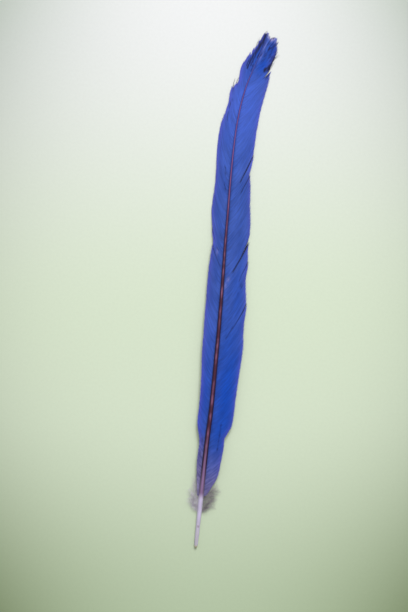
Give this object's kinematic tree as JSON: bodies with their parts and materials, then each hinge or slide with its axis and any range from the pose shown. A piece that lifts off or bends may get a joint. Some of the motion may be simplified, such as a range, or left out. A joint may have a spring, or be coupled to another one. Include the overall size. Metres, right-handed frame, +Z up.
{
  "type": "iberian magpie tail feather",
  "caption": "Long blue tail feather lying flat: pale quill, tapering brown shaft, a narrow and a broad vane of parted barbs, a frayed tip and loose down at the foot.",
  "frame": {"origin": "middle of the feather's footprint, on the surface that it lies on", "axes": "+Y along the straight part of the shaft from the quill towards the tip, +X to the right of it seen from above, +Z up, out of the blue upper side"},
  "size_m": [0.021, 0.2108, 0.0045],
  "materials": {
    "vane": "soft satin barbs, violet blue above with paler lilac margins, dull grey below",
    "shaft": "smooth horn, red brown along the vanes and translucent lilac white at the quill",
    "down": "loose grey mauve down, matt"
  },
  "bodies": {
    "root": {"tail_feather": "vane"}
  },
  "joints": []
}
